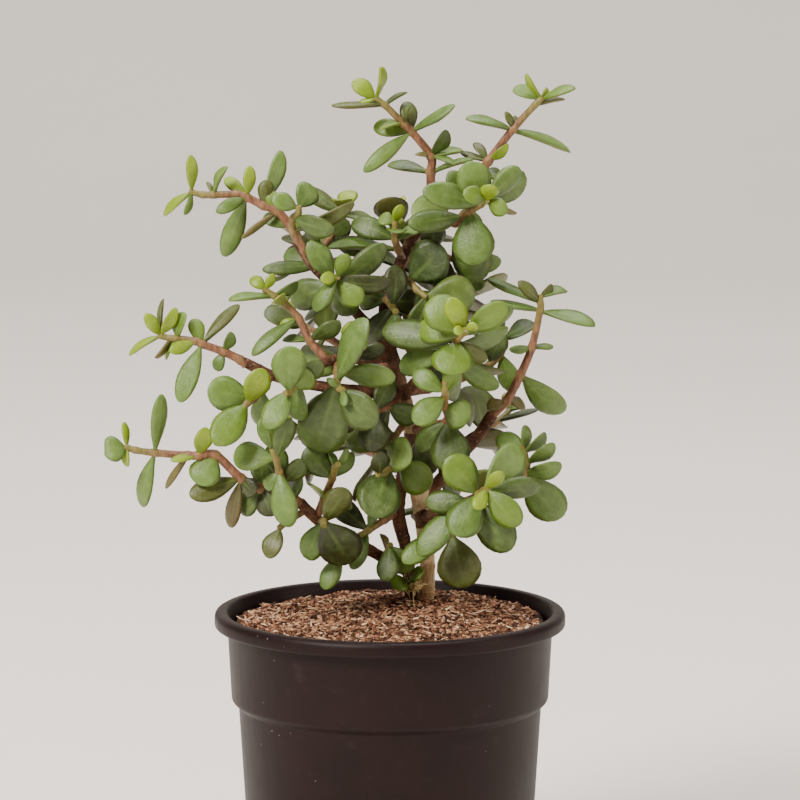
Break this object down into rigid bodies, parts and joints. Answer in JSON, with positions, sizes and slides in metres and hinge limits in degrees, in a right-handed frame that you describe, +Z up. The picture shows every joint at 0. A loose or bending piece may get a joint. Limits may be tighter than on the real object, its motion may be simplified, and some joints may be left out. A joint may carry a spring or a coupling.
{
  "type": "potted jade plant",
  "caption": "Potted jade plant: jointed red-brown stems with opposite pairs of small round fleshy leaves, in a tapered plastic nursery pot with a rolled rim, filled with bark mix.",
  "frame": {"origin": "centre of the pot's flat underside, where it stands", "axes": "+Z up, -Y towards the side seen in the picture, +X to the right there; the plant leans out to -X"},
  "size_m": [0.178, 0.13, 0.316],
  "materials": {
    "pot": "satin black-brown plastic",
    "soil": "loose brown bark and coir chips",
    "bark": "dull grey-brown bark, red-brown on the young stems",
    "leaf": "smooth satin grey-green, yellow-green at the tips"
  },
  "bodies": {
    "root": {"pot": "pot", "soil": "soil", "trunk": "bark", "top_left": "leaf", "top_right": "leaf", "crown_front": "leaf", "upper_left": "leaf", "upper_left_near": "leaf", "upper_left_front": "leaf", "upper_left_back": "leaf", "crown_left": "leaf", "twig_left": "leaf", "mid_left": "leaf", "lower_left": "leaf", "right": "leaf", "centre_front": "leaf", "lower_right": "leaf", "mid_left_front": "leaf", "mid_left_side": "leaf", "centre_left": "leaf", "bough_left_up": "leaf", "centre_low": "leaf", "lower_right_side": "leaf", "lower_under": "leaf", "low_left_rosette": "leaf", "low_left_end": "leaf", "low_left_twig": "leaf", "low_left_drop": "leaf", "low_left_near": "leaf", "low_left_up": "leaf", "inner_left": "leaf", "inner_low": "leaf", "inner_crown": "leaf", "inner_middle": "leaf", "inner_dark": "leaf", "crown_right": "leaf", "crown_under": "leaf", "centre_right": "leaf", "foot_bud": "leaf", "back_high": "leaf", "back_left_high": "leaf", "back_left": "leaf", "back_right": "leaf", "back_right_low": "leaf", "back_left_low": "leaf", "back_low": "leaf", "back_centre": "leaf"}
  },
  "joints": []
}
